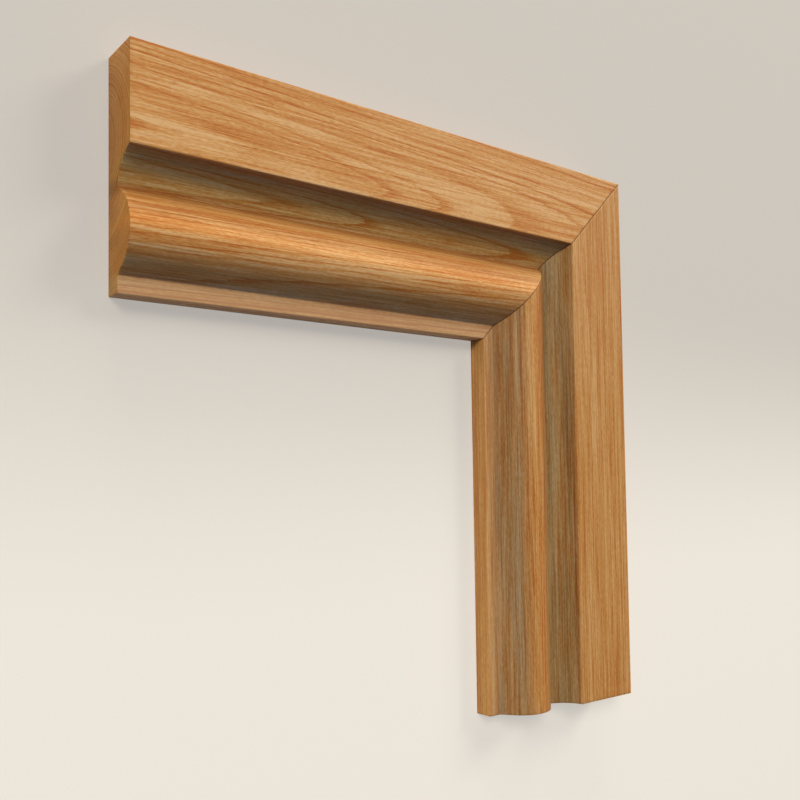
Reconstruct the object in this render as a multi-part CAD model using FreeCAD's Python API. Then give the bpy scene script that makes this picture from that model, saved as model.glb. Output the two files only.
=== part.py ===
import FreeCAD, Part
import math
import os

from FreeCAD import Vector

# Corner of an oak architrave: a head and a leg cut from one moulding and mitred together.
# It lies on its flat back with the moulded face up. The head runs along X and the leg along Y.
# The origin is on the back, in the middle of the two outer lengths. Sizes are in millimetres.

# Lengths along the outer edges, from the mitred corner to the square-cut ends
head_length = 282.0
leg_length = 282.0

# Stretches of the section, in order from the outer edge to the inner edge
band_width = 40.0
cove_width = 13.0
torus_width = 34.0
fillet_width = 7.0

# Heights above the back: of the band's face and the torus's crown, and of the ground that the torus stands on
thickness = 22.0
fillet_height = 9.6

# How far the middle of the cove lies below a straight line between its two edges
cove_hollow = 2.8

# The torus is round over its crown and has a straight flank of this length on each side
torus_flank = 7.0

# Places across the section, measured from the outer edge
groove = band_width + cove_width
fillet_start = groove + torus_width
width = fillet_start + fillet_width

# The saw's wedge reaches past the section by this much
saw_clearance = thickness

# The two outer edges meet here
outer_corner = Vector(head_length / 2, leg_length / 2, 0)
up = Vector(0, 0, 1)


def section_point(across, height):
    """A point of the section, which stands upright across the moulding's run."""
    return Vector(0, across, height)


def cove_edge(band_arris, groove_foot):
    """The hollow arc from the band's arris down to the groove beside the torus."""
    inwards = (groove_foot - band_arris).cross(Vector(1, 0, 0)).normalize()
    middle = (band_arris + groove_foot) / 2 + inwards * cove_hollow
    return Part.Arc(band_arris, middle, groove_foot).toShape()


def torus_edges(groove_foot, fillet_foot):
    """A straight flank, the round crown and a straight flank, each running smoothly into the next."""
    half_width = torus_width / 2
    rise = thickness - fillet_height
    radius = (half_width**2 + rise**2 - torus_flank**2) / (2 * rise)
    slope = math.atan2(rise - radius, half_width) + math.atan2(radius, torus_flank)
    run = torus_flank * math.cos(slope)
    climb = torus_flank * math.sin(slope)
    groove_shoulder = groove_foot + section_point(run, climb)
    crown = groove_foot + section_point(half_width, rise)
    fillet_shoulder = fillet_foot + section_point(-run, climb)
    return [
        Part.makeLine(groove_foot, groove_shoulder),
        Part.Arc(groove_shoulder, crown, fillet_shoulder).toShape(),
        Part.makeLine(fillet_shoulder, fillet_foot),
    ]


def section():
    """The moulding's section: band, cove, torus and fillet above a flat back."""
    outer_back = section_point(0, 0)
    outer_arris = section_point(0, thickness)
    band_arris = section_point(band_width, thickness)
    groove_foot = section_point(groove, fillet_height)
    fillet_foot = section_point(fillet_start, fillet_height)
    inner_arris = section_point(width, fillet_height)
    inner_back = section_point(width, 0)
    edges = [
        Part.makeLine(outer_back, outer_arris),
        Part.makeLine(outer_arris, band_arris),
        cove_edge(band_arris, groove_foot),
        *torus_edges(groove_foot, fillet_foot),
        Part.makeLine(fillet_foot, inner_arris),
        Part.makeLine(inner_arris, inner_back),
        Part.makeLine(inner_back, outer_back),
    ]
    return Part.Face(Part.Wire(edges))


def mitre_wedge():
    """What the mitre saw takes off: all of the run that is nearer the corner than the mitre plane."""
    near = -saw_clearance
    far = width + saw_clearance
    corners = [Vector(near, near, near), Vector(far, far, near), Vector(near, far, near)]
    triangle = Part.Face(Part.makePolygon([*corners, corners[0]]))
    return triangle.extrude(up * (thickness + 2 * saw_clearance))


def mitred_length(length):
    """One length of the moulding along +X, from its mitre at the corner to its square end."""
    return section().extrude(Vector(length, 0, 0)).cut(mitre_wedge())


def turned_into_place(piece):
    """The piece with its mitre at the outer corner, running back towards -X or -Y."""
    placed = piece.copy()
    placed.rotate(Vector(0, 0, 0), up, 180)
    placed.translate(outer_corner)
    return placed


def head_piece():
    return turned_into_place(mitred_length(head_length))


def leg_piece():
    """The leg is cut to the opposite hand, as the head's mirror image in the mitre plane."""
    mitre_normal = Vector(1, -1, 0)
    return turned_into_place(mitred_length(leg_length).mirror(Vector(0, 0, 0), mitre_normal))


os.makedirs("parts", exist_ok=True)
pieces = {"head_piece": head_piece(), "leg_piece": leg_piece()}
for name, shape in pieces.items():
    shape.Solids[0].exportStep(f"parts/{name}.step")
    print(name, "valid", shape.isValid(), "solids", len(shape.Solids), "volume", round(shape.Volume), "mm3")
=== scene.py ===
import math
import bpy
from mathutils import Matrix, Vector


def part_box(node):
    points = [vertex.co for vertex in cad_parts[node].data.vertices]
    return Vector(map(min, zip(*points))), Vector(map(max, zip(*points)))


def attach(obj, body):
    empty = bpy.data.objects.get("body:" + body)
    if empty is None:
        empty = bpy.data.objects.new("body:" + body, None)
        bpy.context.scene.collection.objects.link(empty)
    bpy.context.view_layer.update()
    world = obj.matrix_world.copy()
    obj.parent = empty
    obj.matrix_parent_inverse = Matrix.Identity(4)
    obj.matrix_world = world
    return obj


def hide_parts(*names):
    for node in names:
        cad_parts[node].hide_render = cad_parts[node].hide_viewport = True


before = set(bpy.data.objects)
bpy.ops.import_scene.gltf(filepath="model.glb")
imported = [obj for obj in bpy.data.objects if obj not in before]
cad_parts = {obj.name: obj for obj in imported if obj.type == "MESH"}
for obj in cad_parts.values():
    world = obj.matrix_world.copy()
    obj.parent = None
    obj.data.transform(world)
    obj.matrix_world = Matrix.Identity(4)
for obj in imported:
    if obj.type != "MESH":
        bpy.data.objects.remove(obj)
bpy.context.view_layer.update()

from types import SimpleNamespace

import bmesh
import bpy
from mathutils import Matrix, Vector

# A mitred corner of oak architrave, lying on its back: the head runs along X and the leg along Y.
# Lengths are in metres; a size given in millimetres is multiplied by this.
mm = 0.001

# Sizes from the frame
head_low, head_high = (Vector(corner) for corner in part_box("head_piece"))
leg_low, leg_high = (Vector(corner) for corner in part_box("leg_piece"))
outer_corner = Vector((head_high.x, leg_high.y, head_low.z))
head_length = head_high.x - head_low.x
leg_length = leg_high.y - leg_low.y
width = head_high.y - head_low.y
thickness = head_high.z - head_low.z

# The section, as in the solids, with places measured from the outer edge
band_width = 40 * mm
cove_width = 13 * mm
torus_width = 34 * mm
fillet_height = 9.6 * mm
cove_hollow = 2.8 * mm
torus_flank = 7 * mm
groove = band_width + cove_width
fillet_start = groove + torus_width
mitre_normal = Vector((1, -1, 0)).normalized()

# How finely the section and the run are divided, and how close points are merged
section_step = 0.9 * mm
row_step = 2.0 * mm
merge_distance = 0.001 * mm

# Sanded arrises
eased_edge = 0.3 * mm
eased_steps = 2
sharp_angle = math.radians(38)

# Slight rise and fall that the planer leaves along the grain
relief_depth = 0.05 * mm
relief_width = 4 * mm
relief_length = 70 * mm
relief_detail = 2.0
head_seed = 1.0
leg_seed = 2.0

# The camera: its eye is in millimetres from the outer corner, and its lens in pixels of the photo.
# The lens looks at the centre row, below the middle of the image.
camera_eye = Vector((-409.0, -170.1, 343.8)) * mm
camera_forward = Vector((0.61469, 0.04501, -0.78748))
camera_roll = math.radians(0.81)
image_pixels = 800
focal_pixels = 915.4
centre_row = 450
sensor_width = 36.0

# Light: three soft lamps past the outer edges, one high, one half way up and one low.
# A level is what the lamp gives a white face that lies flat on the floor.
lamp_distance = 6.0
lamp_size = 2.0
lamps = (
    ("high_lamp", Vector((-0.49, 0.41, 0.77)), 0.48, "#FFF9EE"),
    ("side_lamp", Vector((0.66, 0.56, 0.50)), 0.31, "#FFF6E4"),
    ("low_lamp", Vector((0.00, 0.98, 0.17)), 0.085, "#FFF1DC"),
)
world_level = 0.14
world_tint = "#8FB4F8"
backdrop_colour = "#DDD7CE"

# The floor lies a hair below the back of the moulding. Its colour fades along Y, and far out it melts
# into the backdrop. The background share of it takes no shadow.
floor_half = 2.0
floor_gap = 0.1 * mm
floor_dark = "#D2CCC3"
floor_light = "#F3EDE2"
floor_dark_end = 0.10
floor_light_start = -0.09
melt_start = 0.25 * floor_half
melt_end = 0.9 * floor_half
background_share = 0.6

# Growth rings: widths in millimetres, the early part of a year, and the strength of the faintest year
ring_width = 1.8
year_group_width = 5.0
year_group_sway = 3.0
early_part = 0.4
faintest_year = 0.2
feather_reach = 0.35

# Marks along the grain: length and width in millimetres.
# Pores are about 0.3 mm wide and drawn a little wider so that they show.
wander_mark = (180, 25)
# The cloud mark streaks the painted shade on the slopes
cloud_mark = (90, 3.5)
line_mark = (60, 0.9)
pore_mark = (7, 0.45)
mark_detail = 1.0
soft_detail = 2.0

# The tone runs from dark at nought to pale at one, and rings and marks move it by their weights.
# A tone mark has its length and width in millimetres and its weight.
tones = ((0.0, "#B0631F"), (0.5, "#C58B49"), (1.0, "#D9AE77"))
plain_tone = 0.61
ring_weight = 0.8
year_group_weight = 0.55
line_weight = 1.05
tone_marks = (
    (150, 9.0, 0.75),
    (100, 2.2, 0.9),
    (22, 0.6, 1.0),
    (2.5, 0.5, 0.9),
)

# Pores start and are full at these levels of their noise, and late and early wood show these shares of them
pore_start = 0.56
pore_full = 0.70
late_pores = 0.3
early_pores = 0.8
pore_colour = "#A05C24"

# End grain: how far a face has to look along the grain, what it keeps of the marks, and its oiled tint
side_facing = 0.6
end_facing = 0.9
end_marks = 0.25
end_tint = (0.85, 0.755, 0.46)

# Sapwood along the inner edge, and the glue line of the mitre
sap_start = width - 9 * mm
sap_full = width - 5 * mm
sapwood_colour = "#D6BD9A"
glue_width = 0.25 * mm
glue_colour = "#6A4322"

# Where the painted shade and light lie: painted shade by the groove, in the cove and on the slopes, painted
# light on the edges and a painted highlight on the crown of the torus.
# A reach or core is a distance from the line in question; that of the inside is from the middle of the width.
# Facing is above nought towards the inner edge and below nought towards the outer edge.
# Painted shade in the groove: its reach, its core and its darker tint
groove_reach = 5 * mm
groove_core = 0.5 * mm
groove_shade_tint = (0.66, 0.62, 0.55)
# Painted shade in the cove, on the side that faces the inner edge
cove_middle = band_width + cove_width / 2
cove_reach = cove_width / 2
cove_core = cove_reach - 2 * mm
cove_facing = 0.15
# A painted highlight along the crown of the torus
crown_line = groove + 0.44 * torus_width
crown_reach = 5 * mm
# Painted shade on the moulded slopes: below the face, in the middle of the width, on slopes facing in or out,
# in streaks
slope_top = thickness - 0.3 * mm
slope_full = thickness - 1.5 * mm
inside_reach = width / 2 - 0.5 * mm
inside_core = width / 2 - 1.0 * mm
outer_slope_start = -0.15
outer_slope_full = -0.5
inner_slope_span = 0.5
cloud_start = 0.35
cloud_full = 0.65
most_shade = 1.15
cloud_sway = 3

# The oiled surface
wood_roughness = 0.6
pore_roughness = 0.75
oil_ior = 1.45
oil_specular = 0.3
bump_strength = 0.25
bump_depth = 0.06 * mm

# The two boards. Place in the log, pith and wander are in millimetres, and the pith leans by an angle.
# Figure, calming, grey and sapwood are shares, and a tint multiplies the colour.
# Grey is painted shade on the slopes, and calming evens the grain under it; the slope and cove tints are
# painted shade, the edge tint is painted light and the crown tint a painted highlight.
head_board = SimpleNamespace(
    grain_turn=0.0,
    place_in_log=(0, 0, 0),
    pith_across=107,
    pith_depth=15.6,
    pith_lean=0.034,
    wander_reach=3.0,
    ring_figure=1.0,
    # Calming and the grey shares set the painted shade on the slopes
    calming=0.3,
    shade_facing_start=0.25,
    least_shade=0.65,
    sapwood=0.32,
    stock_tint=(1, 1, 1),
    # Painted shade on the slopes and in the cove, painted light on the edges and a painted highlight on the
    # crown
    inner_slope_shade_tint=(0.68, 0.87, 1.30),
    outer_slope_shade_tint=(0.75, 0.68, 0.54),
    cove_shade_tint=(1.0, 1.17, 1.16),
    edge_light_tint=(1, 1, 1),
    crown_highlight_tint=(1.18, 1.13, 1.03),
)
leg_board = SimpleNamespace(
    grain_turn=math.radians(-90),
    place_in_log=(640, 23, 11),
    pith_across=-78,
    pith_depth=68,
    pith_lean=0.015,
    wander_reach=7.0,
    ring_figure=0.35,
    # Calming and the grey shares set the painted shade on the slopes
    calming=0.0,
    shade_facing_start=0.0,
    least_shade=0.35,
    sapwood=0.14,
    stock_tint=(0.85, 0.805, 0.70),
    # Painted shade on the slopes and in the cove, painted light on the edges and a painted highlight on the
    # crown
    inner_slope_shade_tint=(0.70, 0.83, 1.14),
    outer_slope_shade_tint=(0.70, 0.61, 0.45),
    cove_shade_tint=(0.87, 0.98, 1.0),
    edge_light_tint=(1.2, 1.13, 0.88),
    crown_highlight_tint=(1.05, 1.05, 1.05),
)

# Inputs of a colour mix, which has several inputs of the same name
mix_share = 0
mix_under = 6
mix_over = 7


def linear(hex_colour):
    """An sRGB hex colour as linear red, green, blue and full alpha."""
    channels = [int(hex_colour[i:i + 2], 16) / 255 for i in (1, 3, 5)]
    low = [c / 12.92 for c in channels]
    high = [((c + 0.055) / 1.055) ** 2.4 for c in channels]
    return (*[l if c <= 0.04045 else h for c, l, h in zip(channels, low, high)], 1.0)


def add(tree, kind, links=None, **settings):
    """Adds a node: settings are its own properties, links are values, sockets or nodes for its inputs.

    A node that is linked whole gives its first output in use.
    """
    node = tree.nodes.new(kind)
    for name, value in settings.items():
        setattr(node, name, value)
    for socket, value in (links or {}).items():
        if isinstance(value, bpy.types.Node):
            value = next(output for output in value.outputs if output.enabled)
        if isinstance(value, bpy.types.NodeSocket):
            tree.links.new(value, node.inputs[socket])
        else:
            node.inputs[socket].default_value = value
    return node


# The section

def divided_line(start, end):
    """Points from start to just before end, about one step apart."""
    count = max(1, round((end - start).length / section_step))
    return [start.lerp(end, i / count) for i in range(count)]


def divided_arc(start, middle, end):
    """Points on the circle through three points, from start to just before end."""
    a = middle - start
    b = end - start
    cross = a.x * b.y - a.y * b.x
    reach = Vector((b.y * a.length_squared - a.y * b.length_squared,
                    a.x * b.length_squared - b.x * a.length_squared)) / (2 * cross)
    centre = start + reach
    turn = -(start - centre).angle_signed(end - centre)
    if (start - centre).dot(middle - centre) < (start - centre).dot(end - centre):
        turn -= math.copysign(2 * math.pi, turn)
    count = max(2, round(abs(turn) * reach.length / section_step))
    return [centre + Matrix.Rotation(turn * i / count, 2) @ (start - centre) for i in range(count)]


def section_outline():
    """The closed outline: across from the outer edge, and up from the back."""
    outer_back = Vector((0, 0))
    outer_arris = Vector((0, thickness))
    band_arris = Vector((band_width, thickness))
    groove_foot = Vector((groove, fillet_height))
    fillet_foot = Vector((fillet_start, fillet_height))
    inner_arris = Vector((width, fillet_height))
    inner_back = Vector((width, 0))

    chord = groove_foot - band_arris
    hollow = Vector((chord.y, -chord.x)).normalized() * cove_hollow
    cove_bed = (band_arris + groove_foot) / 2 + hollow

    half_width = torus_width / 2
    rise = thickness - fillet_height
    radius = (half_width**2 + rise**2 - torus_flank**2) / (2 * rise)
    slope = math.atan2(rise - radius, half_width) + math.atan2(radius, torus_flank)
    flank = Vector((math.cos(slope), math.sin(slope))) * torus_flank
    groove_shoulder = groove_foot + flank
    crown = Vector((groove + half_width, thickness))
    fillet_shoulder = fillet_foot + Vector((-flank.x, flank.y))

    return [
        *divided_line(outer_back, outer_arris),
        *divided_line(outer_arris, band_arris),
        *divided_arc(band_arris, cove_bed, groove_foot),
        *divided_line(groove_foot, groove_shoulder),
        *divided_arc(groove_shoulder, crown, fillet_shoulder),
        *divided_line(fillet_shoulder, fillet_foot),
        *divided_line(fillet_foot, inner_arris),
        *divided_line(inner_arris, inner_back),
        *divided_line(inner_back, outer_back),
    ]


def section_mesh(name):
    """The outline as a closed loop of edges, across on X and up on Y."""
    points = section_outline()
    edges = [(i, (i + 1) % len(points)) for i in range(len(points))]
    mesh = bpy.data.meshes.new(name)
    mesh.from_pydata([(p.x, p.y, 0) for p in points], edges, [])
    return mesh


# The moulding: the section run along its length, mitred at the corner and square at the far end

def swept_section(tree, given):
    """The section run straight; points keep their place in the section and their share of the run."""
    profile = add(tree, "GeometryNodeMeshToCurve", {"Mesh": given["Section"]})
    position = add(tree, "GeometryNodeInputPosition")
    placed = add(tree, "GeometryNodeStoreNamedAttribute",
                 {"Geometry": profile, "Name": "section_place", "Value": position},
                 data_type="FLOAT_VECTOR", domain="POINT")
    run_end = add(tree, "ShaderNodeCombineXYZ", {"X": given["Length"]})
    line = add(tree, "GeometryNodeCurvePrimitiveLine", {"End": run_end})
    rows = add(tree, "GeometryNodeResampleCurve", {"Curve": line, "Count": given["Rows"]})
    share = add(tree, "GeometryNodeSplineParameter")
    shared = add(tree, "GeometryNodeStoreNamedAttribute",
                 {"Geometry": rows, "Name": "run_share", "Value": share.outputs["Factor"]},
                 data_type="FLOAT", domain="POINT")
    return add(tree, "GeometryNodeCurveToMesh", {"Curve": shared, "Profile Curve": placed, "Fill Caps": True})


def mitred_place(tree, given):
    """Where each point goes: every row slides towards the far end by what the mitre leaves of it."""
    section_place = add(tree, "GeometryNodeInputNamedAttribute", {"Name": "section_place"},
                        data_type="FLOAT_VECTOR")
    run_share = add(tree, "GeometryNodeInputNamedAttribute", {"Name": "run_share"}, data_type="FLOAT")
    place = add(tree, "ShaderNodeSeparateXYZ", {"Vector": section_place})
    across = place.outputs["X"]
    up = place.outputs["Y"]
    along = add(tree, "ShaderNodeMapRange", {"Value": run_share, "To Min": across, "To Max": given["Length"]})

    # The relief only sinks, so the piece stays inside its solid
    local_place = add(tree, "ShaderNodeCombineXYZ", {"X": along, "Y": across, "Z": up})
    stretched = add(tree, "ShaderNodeVectorMath", {0: local_place, 1: given["Relief Scale"]},
                    operation="MULTIPLY")
    noise = add(tree, "ShaderNodeTexNoise",
                {"Vector": stretched, "W": given["Seed"], "Scale": 1.0, "Detail": relief_detail},
                noise_dimensions="4D")
    sunk = add(tree, "ShaderNodeMath", {0: noise, 1: given["Relief"]}, operation="MULTIPLY")
    left = add(tree, "ShaderNodeMath", {0: 1.0, 1: sunk}, operation="SUBTRACT")
    height = add(tree, "ShaderNodeMath", {0: up, 1: left}, operation="MULTIPLY")

    run_part = add(tree, "ShaderNodeVectorMath", {0: given["Run"], "Scale": along}, operation="SCALE")
    across_part = add(tree, "ShaderNodeVectorMath", {0: given["Across"], "Scale": across}, operation="SCALE")
    up_part = add(tree, "ShaderNodeCombineXYZ", {"Z": height})
    total = given["Corner"]
    for part in (run_part, across_part, up_part):
        total = add(tree, "ShaderNodeVectorMath", {0: total, 1: part}, operation="ADD")
    return total


def moulding_tree():
    """Geometry Nodes that turn the section into one mitred length, in its own place."""
    tree = bpy.data.node_groups.new("mitred_moulding", "GeometryNodeTree")
    inputs = {
        "Section": "NodeSocketGeometry",
        "Corner": "NodeSocketVector",
        "Run": "NodeSocketVector",
        "Across": "NodeSocketVector",
        "Length": "NodeSocketFloat",
        "Rows": "NodeSocketInt",
        "Relief": "NodeSocketFloat",
        "Relief Scale": "NodeSocketVector",
        "Seed": "NodeSocketFloat",
        "Finish": "NodeSocketMaterial",
    }
    sockets = {name: tree.interface.new_socket(name, in_out="INPUT", socket_type=kind).identifier
               for name, kind in inputs.items()}
    tree.interface.new_socket("Moulding", in_out="OUTPUT", socket_type="NodeSocketGeometry")
    given = add(tree, "NodeGroupInput").outputs
    mitred = add(tree, "GeometryNodeSetPosition",
                 {"Geometry": swept_section(tree, given), "Position": mitred_place(tree, given)})
    realized = add(tree, "GeometryNodeRealizeInstances", {"Geometry": mitred})
    finished = add(tree, "GeometryNodeSetMaterial", {"Geometry": realized, "Material": given["Finish"]})
    add(tree, "NodeGroupOutput", {"Moulding": finished})
    return tree, sockets


def plain_mesh(maker, name):
    """The evaluated result as a plain mesh: closed, facing outwards, smooth but for its sharp edges."""
    graph = bpy.context.evaluated_depsgraph_get()
    mesh = bpy.data.meshes.new_from_object(maker.evaluated_get(graph), depsgraph=graph)
    mesh.name = name
    shape = bmesh.new()
    shape.from_mesh(mesh)
    bmesh.ops.remove_doubles(shape, verts=shape.verts, dist=merge_distance)
    bmesh.ops.recalc_face_normals(shape, faces=shape.faces)
    shape.to_mesh(mesh)
    shape.free()
    for face in mesh.polygons:
        face.use_smooth = True
    mesh.set_sharp_from_angle(angle=sharp_angle)
    return mesh


def mitred_piece(name, node, run, across, length, seed, finish):
    """One finished length of moulding that stands for its CAD node."""
    maker = bpy.data.objects.new(name + "_maker", section_mesh(name + "_section"))
    bpy.context.collection.objects.link(maker)
    values = {
        "Corner": outer_corner,
        "Run": run,
        "Across": across,
        "Length": length,
        "Rows": round(length / row_step),
        "Relief": relief_depth / thickness,
        "Relief Scale": (1 / relief_length, 1 / relief_width, 1 / relief_width),
        "Seed": seed,
        "Finish": finish,
    }
    sweep = maker.modifiers.new("moulding", "NODES")
    sweep.node_group = moulding
    for key, value in values.items():
        sweep[moulding_inputs[key]] = value
    easing = maker.modifiers.new("eased_edges", "BEVEL")
    easing.width = eased_edge
    easing.segments = eased_steps
    easing.limit_method = "ANGLE"
    easing.angle_limit = sharp_angle
    piece = bpy.data.objects.new(name, plain_mesh(maker, name))
    bpy.context.collection.objects.link(piece)
    bpy.data.objects.remove(maker)
    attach(piece, "root")
    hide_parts(node)
    return piece


# Oak

def grain_noise(tree, place, length, across, detail=mark_detail):
    """Noise in marks this long and this wide, in millimetres."""
    stretched = add(tree, "ShaderNodeVectorMath",
                    {0: place, 1: (1 / length, 1 / across, 1 / across)}, operation="MULTIPLY")
    return add(tree, "ShaderNodeTexNoise", {"Vector": stretched, "Scale": 1.0, "Detail": detail})


def shifted(tree, place, noise, reach):
    """The place moved across the grain by up to about half the reach."""
    shift = add(tree, "ShaderNodeVectorMath",
                {0: noise.outputs["Color"], 1: (0, reach, reach), 2: (0, -reach / 2, -reach / 2)},
                operation="MULTIPLY_ADD")
    return add(tree, "ShaderNodeVectorMath", {0: place, 1: shift}, operation="ADD")


def beside(tree, place, line, reach, core, blend="SMOOTHSTEP"):
    """One within the core distance of a line, falling to nought at the reach."""
    offset = add(tree, "ShaderNodeMath", {0: place, 1: line}, operation="SUBTRACT")
    distance = add(tree, "ShaderNodeMath", {0: offset}, operation="ABSOLUTE")
    return add(tree, "ShaderNodeMapRange", {"Value": distance, "From Min": reach, "From Max": core},
               interpolation_type=blend)


def board_places(tree, board):
    """What the oak is drawn by: places along the grain in millimetres, place across, and facing."""
    along = Vector((math.cos(board.grain_turn), -math.sin(board.grain_turn), 0))
    inward = Vector((math.sin(board.grain_turn), -math.cos(board.grain_turn), 0))
    coords = add(tree, "ShaderNodeTexCoord")
    spot = coords.outputs["Object"]
    normal = coords.outputs["Normal"]
    grain = add(tree, "ShaderNodeMapping",
                {"Vector": spot, "Rotation": (0, 0, board.grain_turn), "Scale": (1 / mm, 1 / mm, 1 / mm)})
    in_log = add(tree, "ShaderNodeVectorMath", {0: grain, 1: board.place_in_log}, operation="ADD")
    inward_place = add(tree, "ShaderNodeVectorMath", {0: spot, 1: inward}, operation="DOT_PRODUCT")
    across = add(tree, "ShaderNodeMath", {0: inward_place, 1: outer_corner.dot(inward)}, operation="SUBTRACT")
    facing_inward = add(tree, "ShaderNodeVectorMath", {0: normal, 1: inward}, operation="DOT_PRODUCT")
    facing_along = add(tree, "ShaderNodeVectorMath", {0: normal, 1: along}, operation="DOT_PRODUCT")
    facing = add(tree, "ShaderNodeMath", {0: facing_along}, operation="ABSOLUTE")
    end_grain = add(tree, "ShaderNodeMapRange",
                    {"Value": facing, "From Min": side_facing, "From Max": end_facing})
    return SimpleNamespace(
        spot=spot,
        grain=grain,
        in_log=in_log,
        across=across,
        inside=beside(tree, across, width / 2, inside_reach, inside_core, "LINEAR"),
        facing_inward=facing_inward,
        end_grain=end_grain,
        side_grain=add(tree, "ShaderNodeMapRange", {"Value": end_grain, "To Min": 1.0, "To Max": end_marks}),
        wander=grain_noise(tree, in_log, *wander_mark, soft_detail),
        lines=grain_noise(tree, in_log, *line_mark),
    )


def growth_rings(tree, at, board):
    """Early wood and groups of years, in rings about a leaning pith, so that they surface as long arcs."""
    wandered = shifted(tree, at.grain, at.wander, board.wander_reach)
    feathered = shifted(tree, wandered, at.lines, feather_reach)
    from_pith = add(tree, "ShaderNodeMapping",
                    {"Vector": feathered, "Location": (0, -board.pith_across, board.pith_depth),
                     "Rotation": (0, -board.pith_lean, 0)})
    outwards = add(tree, "ShaderNodeVectorMath", {0: from_pith, 1: (0, 1, 1)}, operation="MULTIPLY")
    radius = add(tree, "ShaderNodeVectorMath", {0: outwards}, operation="LENGTH")
    year_groups = add(tree, "ShaderNodeTexNoise",
                      {"W": radius, "Scale": 1 / year_group_width, "Detail": mark_detail},
                      noise_dimensions="1D")
    grown = add(tree, "ShaderNodeMath", {0: year_groups, 1: year_group_sway, 2: radius},
                operation="MULTIPLY_ADD")
    years = add(tree, "ShaderNodeMath", {0: grown, 1: ring_width}, operation="DIVIDE")
    season = add(tree, "ShaderNodeMath", {0: years}, operation="FRACT")
    year = add(tree, "ShaderNodeMath", {0: years}, operation="FLOOR")
    year_draw = add(tree, "ShaderNodeTexWhiteNoise", {"W": year}, noise_dimensions="1D")
    strength = add(tree, "ShaderNodeMapRange", {"Value": year_draw, "To Min": faintest_year, "To Max": 1.0})
    spring = add(tree, "ShaderNodeMapRange",
                 {"Value": season, "From Max": early_part, "To Min": 1.0, "To Max": 0.0},
                 interpolation_type="SMOOTHSTEP")
    early = add(tree, "ShaderNodeMath", {0: spring, 1: strength}, operation="MULTIPLY")
    return early, year_groups


def open_pores(tree, at, early):
    """Short dark pores along the grain, most of them in the early wood."""
    noise = grain_noise(tree, at.in_log, *pore_mark)
    shape = add(tree, "ShaderNodeMapRange", {"Value": noise, "From Min": pore_start, "From Max": pore_full})
    share = add(tree, "ShaderNodeMapRange", {"Value": early, "To Min": late_pores, "To Max": early_pores})
    return add(tree, "ShaderNodeMath", {0: shape, 1: share}, operation="MULTIPLY")


def oak_tone(tree, at, board, early, year_groups):
    """How pale the wood is: marks along the grain, which end grain hardly shows, and growth rings.

    Noise is even about one half, so half of each weight is taken off.
    """
    marks = [(at.lines, line_weight)]
    for length, across, weight in tone_marks:
        marks.append((grain_noise(tree, at.in_log, length, across), weight))
    total = -sum(weight for noise, weight in marks) / 2
    for noise, weight in marks:
        total = add(tree, "ShaderNodeMath", {0: noise, 1: weight, 2: total}, operation="MULTIPLY_ADD")
    group_share = year_group_weight * board.ring_figure
    marked = add(tree, "ShaderNodeMath", {0: total, 1: at.side_grain, 2: plain_tone - group_share / 2},
                 operation="MULTIPLY_ADD")
    grouped = add(tree, "ShaderNodeMath", {0: year_groups, 1: group_share, 2: marked},
                  operation="MULTIPLY_ADD")
    return add(tree, "ShaderNodeMath", {0: early, 1: -ring_weight * board.ring_figure, 2: grouped},
               operation="MULTIPLY_ADD")


def inner_slope_shade(tree, at, board):
    """Share of painted shade, a grey tint, on slopes that face the inner edge, in streaks that follow the
    grain.
    """
    height = add(tree, "ShaderNodeSeparateXYZ", {"Vector": at.spot}).outputs["Z"]
    below_face = add(tree, "ShaderNodeMapRange",
                     {"Value": height, "From Min": slope_top, "From Max": slope_full})
    facing = add(tree, "ShaderNodeMapRange",
                 {"Value": at.facing_inward, "From Min": board.shade_facing_start,
                  "From Max": board.shade_facing_start + inner_slope_span},
                 interpolation_type="SMOOTHSTEP")
    swayed = shifted(tree, at.in_log, at.wander, cloud_sway * board.wander_reach)
    cloud = grain_noise(tree, swayed, *cloud_mark, soft_detail)
    streaks = add(tree, "ShaderNodeMapRange",
                  {"Value": cloud, "From Min": cloud_start, "From Max": cloud_full,
                   "To Min": board.least_shade, "To Max": most_shade})
    share = at.inside
    for part in (facing, below_face, streaks):
        share = add(tree, "ShaderNodeMath", {0: share, 1: part}, operation="MULTIPLY")
    return share


def place_tints(tree, at, board, slope_shade):
    """Shares and tints, in order: painted shade by the groove, on both slopes and in the cove, painted light
    on the edges, a painted highlight on the crown, and the end grain's own tint.
    """
    # Painted shade by the groove
    groove_shade = beside(tree, at.across, groove, groove_reach, groove_core)
    # Painted shade, darker and warmer, on slopes that face the outer edge
    outer_facing = add(tree, "ShaderNodeMapRange",
                       {"Value": at.facing_inward, "From Min": outer_slope_start,
                        "From Max": outer_slope_full},
                       interpolation_type="SMOOTHSTEP")
    outer_slope_shade = add(tree, "ShaderNodeMath", {0: outer_facing, 1: at.inside}, operation="MULTIPLY")
    # Painted shade in the cove
    cove_place = beside(tree, at.across, cove_middle, cove_reach, cove_core)
    cove_side = add(tree, "ShaderNodeMapRange", {"Value": at.facing_inward, "From Max": cove_facing})
    cove = add(tree, "ShaderNodeMath", {0: cove_place, 1: cove_side}, operation="MULTIPLY")
    # The edges take painted light
    edges = add(tree, "ShaderNodeMath", {0: 1.0, 1: at.inside}, operation="SUBTRACT")
    # A painted highlight on the crown
    crown = beside(tree, at.across, crown_line, crown_reach, 0)
    # Painted shade in the groove, on both slopes and in the cove, painted light on the edges, a painted
    # highlight on the crown, then the end grain's tint
    return (
        (groove_shade, groove_shade_tint),
        (slope_shade, board.inner_slope_shade_tint),
        (outer_slope_shade, board.outer_slope_shade_tint),
        (cove, board.cove_shade_tint),
        (edges, board.edge_light_tint),
        (crown, board.crown_highlight_tint),
        (at.end_grain, end_tint),
    )


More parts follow.
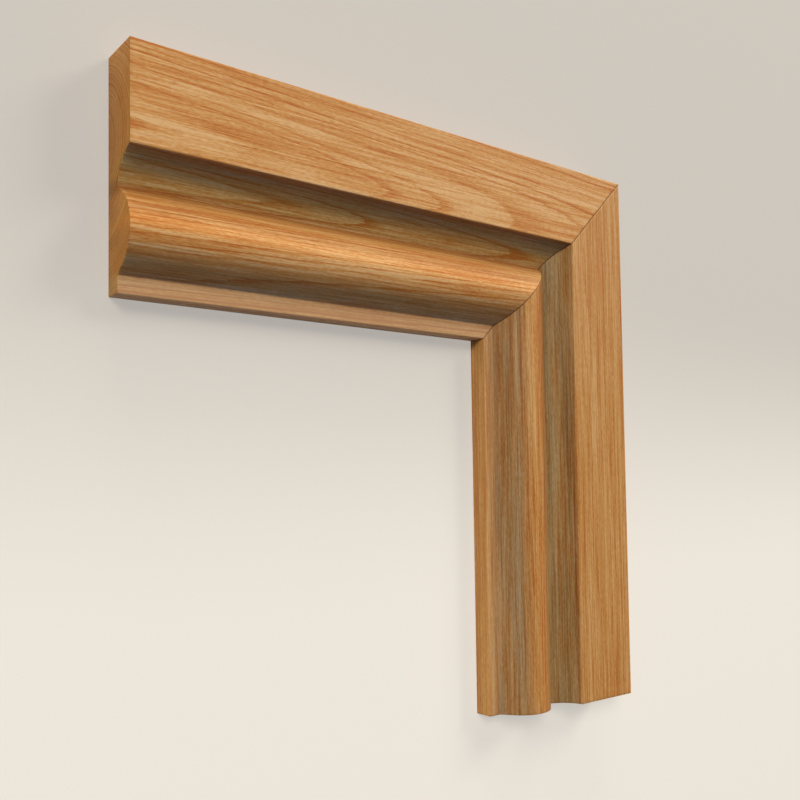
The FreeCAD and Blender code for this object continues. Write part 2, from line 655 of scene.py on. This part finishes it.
def board_colour(tree, at, board, wood, pores, slope_shade):
    """The wood with its pores, sapwood, end grain tint, painted shade, painted light and painted highlight,
    and the glue line of the mitre.
    """
    side_pores = add(tree, "ShaderNodeMath", {0: pores, 1: at.side_grain}, operation="MULTIPLY")
    with_pores = add(tree, "ShaderNodeMix",
                     {mix_share: side_pores, mix_under: wood, mix_over: linear(pore_colour)},
                     data_type="RGBA")
    stock = add(tree, "ShaderNodeVectorMath", {0: with_pores, 1: board.stock_tint}, operation="MULTIPLY")
    sap = add(tree, "ShaderNodeMapRange",
              {"Value": at.across, "From Min": sap_start, "From Max": sap_full, "To Max": board.sapwood},
              interpolation_type="SMOOTHSTEP")
    colour = add(tree, "ShaderNodeMix",
                 {mix_share: sap, mix_under: stock, mix_over: linear(sapwood_colour)}, data_type="RGBA")
    # Tints multiply in: painted shade, painted light, a painted highlight and the end grain's tint
    for share, tint in place_tints(tree, at, board, slope_shade):
        colour = add(tree, "ShaderNodeMix", {mix_share: share, mix_under: colour, mix_over: (*tint, 1.0)},
                     data_type="RGBA", blend_type="MULTIPLY")
    mitre_place = add(tree, "ShaderNodeVectorMath", {0: at.spot, 1: mitre_normal}, operation="DOT_PRODUCT")
    glue = beside(tree, mitre_place, outer_corner.dot(mitre_normal), glue_width, glue_width / 2, "LINEAR")
    return add(tree, "ShaderNodeMix", {mix_share: glue, mix_under: colour, mix_over: linear(glue_colour)},
               data_type="RGBA")


def planed_oak(name, board):
    """Flat-sawn oak, planed and oiled: tan, with orange-brown growth arcs, streaks and pores.

    Its end grain is browner. Painted shade greys the slopes that face inside, darkens those that face
    outside, darkens the groove and tints the cove; painted light brightens the edges and a painted highlight
    the crown.
    """
    material = bpy.data.materials.new(name)
    material.use_nodes = True
    tree = material.node_tree
    tree.nodes.clear()
    at = board_places(tree, board)
    early, year_groups = growth_rings(tree, at, board)
    pores = open_pores(tree, at, early)
    slope_shade = inner_slope_shade(tree, at, board)

    # The wood's colour follows its tone, which the painted shade on the slopes brings towards the middle, so
    # the grain shows less there
    tone = oak_tone(tree, at, board, early, year_groups)
    calm = add(tree, "ShaderNodeMath", {0: slope_shade, 1: board.calming}, operation="MULTIPLY")
    middle_tone = tones[1][0]
    calmed = add(tree, "ShaderNodeMapRange", {"Value": calm, "To Min": tone, "To Max": middle_tone})
    wood = add(tree, "ShaderNodeValToRGB", {"Fac": calmed})
    wood.color_ramp.elements.new(middle_tone)
    for element, (position, colour) in zip(wood.color_ramp.elements, tones):
        element.position = position
        element.color = linear(colour)

    # A dull oiled sheen, with lines and pores that are just felt
    roughness = add(tree, "ShaderNodeMapRange",
                    {"Value": pores, "To Min": wood_roughness, "To Max": pore_roughness})
    height = add(tree, "ShaderNodeMath", {0: at.lines, 1: pores}, operation="SUBTRACT")
    bump = add(tree, "ShaderNodeBump", {"Height": height, "Strength": bump_strength, "Distance": bump_depth})
    shader = add(tree, "ShaderNodeBsdfPrincipled",
                 {"Base Color": board_colour(tree, at, board, wood, pores, slope_shade), "Roughness": roughness,
                  "IOR": oil_ior, "Specular IOR Level": oil_specular, "Normal": bump})
    add(tree, "ShaderNodeOutputMaterial", {"Surface": shader})
    return material


# The two pieces

moulding, moulding_inputs = moulding_tree()
head_oak = planed_oak("planed_oak_head", head_board)
leg_oak = planed_oak("planed_oak_leg", leg_board)
to_left = Vector((-1, 0, 0))
to_foot = Vector((0, -1, 0))
head = mitred_piece("oak_head", "head_piece", to_left, to_foot, head_length, head_seed, head_oak)
leg = mitred_piece("oak_leg", "leg_piece", to_foot, to_left, leg_length, leg_seed, leg_oak)


# Floor, lights and camera

def seen_rays(tree):
    """One for a ray from the camera, or one that gloss or glass passes on, and nought for light."""
    path = add(tree, "ShaderNodeLightPath")
    shown = path.outputs["Is Camera Ray"]
    for kind in ("Is Glossy Ray", "Is Transmission Ray"):
        shown = add(tree, "ShaderNodeMath", {0: shown, 1: path.outputs[kind]}, operation="MAXIMUM")
    return shown


def painted_floor():
    """Matt pale studio paint, lighter towards -Y: part is plain background and the rest takes shadow."""
    material = bpy.data.materials.new("matt_studio_floor")
    material.use_nodes = True
    tree = material.node_tree
    tree.nodes.clear()
    spot = add(tree, "ShaderNodeTexCoord").outputs["Object"]
    place = add(tree, "ShaderNodeSeparateXYZ", {"Vector": spot})
    fade = add(tree, "ShaderNodeMapRange",
               {"Value": place.outputs["Y"], "From Min": floor_dark_end, "From Max": floor_light_start},
               interpolation_type="SMOOTHSTEP")
    near_colour = add(tree, "ShaderNodeMix",
                      {mix_share: fade, mix_under: linear(floor_dark), mix_over: linear(floor_light)},
                      data_type="RGBA")
    distance = add(tree, "ShaderNodeVectorMath", {0: spot}, operation="LENGTH")
    far = add(tree, "ShaderNodeMapRange",
              {"Value": distance, "From Min": melt_start, "From Max": melt_end},
              interpolation_type="SMOOTHSTEP")
    colour = add(tree, "ShaderNodeMix",
                 {mix_share: far, mix_under: near_colour, mix_over: linear(backdrop_colour)},
                 data_type="RGBA")
    lit = add(tree, "ShaderNodeBsdfDiffuse", {"Color": colour})
    plain = add(tree, "ShaderNodeEmission", {"Color": colour, "Strength": 1.0})
    background = add(tree, "ShaderNodeMapRange", {"Value": far, "To Min": background_share, "To Max": 1.0})
    share = add(tree, "ShaderNodeMath", {0: seen_rays(tree), 1: background}, operation="MULTIPLY")
    surface = add(tree, "ShaderNodeMixShader", {0: share, 1: lit, 2: plain})
    add(tree, "ShaderNodeOutputMaterial", {"Surface": surface})
    return material


def floor():
    """A wide square under the moulding, which takes its shadow."""
    signs = ((-1, -1), (1, -1), (1, 1), (-1, 1))
    corners = [(x * floor_half, y * floor_half, -floor_gap) for x, y in signs]
    mesh = bpy.data.meshes.new("studio_floor")
    mesh.from_pydata(corners, [], [range(len(corners))])
    mesh.materials.append(painted_floor())
    plane = bpy.data.objects.new("studio_floor", mesh)
    bpy.context.collection.objects.link(plane)


def soft_lamp(name, towards, level, tint):
    """A square soft light aimed at the middle of the floor."""
    direction = towards.normalized()
    lamp = bpy.data.lights.new(name, "AREA")
    lamp.size = lamp_size
    lamp.color = linear(tint)[:3]
    lamp.energy = level / direction.z * math.pi**2 * lamp_distance**2
    lamp_object = bpy.data.objects.new(name, lamp)
    lamp_object.location = direction * lamp_distance
    lamp_object.rotation_euler = direction.to_track_quat("Z", "Y").to_euler()
    bpy.context.collection.objects.link(lamp_object)


def world_light():
    """A weak bluish light all round, and a pale backdrop for what the camera sees past the floor."""
    world = bpy.data.worlds.new("studio")
    world.use_nodes = True
    tree = world.node_tree
    tree.nodes.clear()
    light = add(tree, "ShaderNodeBackground", {"Color": linear(world_tint), "Strength": world_level})
    backdrop = add(tree, "ShaderNodeBackground", {"Color": linear(backdrop_colour), "Strength": 1.0})
    shown = add(tree, "ShaderNodeMixShader", {0: seen_rays(tree), 1: light, 2: backdrop})
    add(tree, "ShaderNodeOutputWorld", {"Surface": shown})
    bpy.context.scene.world = world


def photo_camera():
    """The photo's view, as a lens with a small upward shift."""
    data = bpy.data.cameras.new("photo_camera")
    data.sensor_width = sensor_width
    data.lens = focal_pixels / image_pixels * sensor_width
    data.shift_y = centre_row / image_pixels - 0.5
    camera = bpy.data.objects.new("photo_camera", data)
    forward = camera_forward.normalized()
    right = forward.cross(Vector((0, 1, 0))).normalized()
    turn = Matrix((right, right.cross(forward), -forward)).transposed()
    roll = Matrix.Rotation(camera_roll, 3, forward)
    camera.matrix_world = Matrix.Translation(outer_corner + camera_eye) @ (roll @ turn).to_4x4()
    bpy.context.collection.objects.link(camera)
    bpy.context.scene.camera = camera


floor()
for lamp_values in lamps:
    soft_lamp(*lamp_values)
world_light()
photo_camera()
bpy.context.scene.view_settings.view_transform = "Standard"
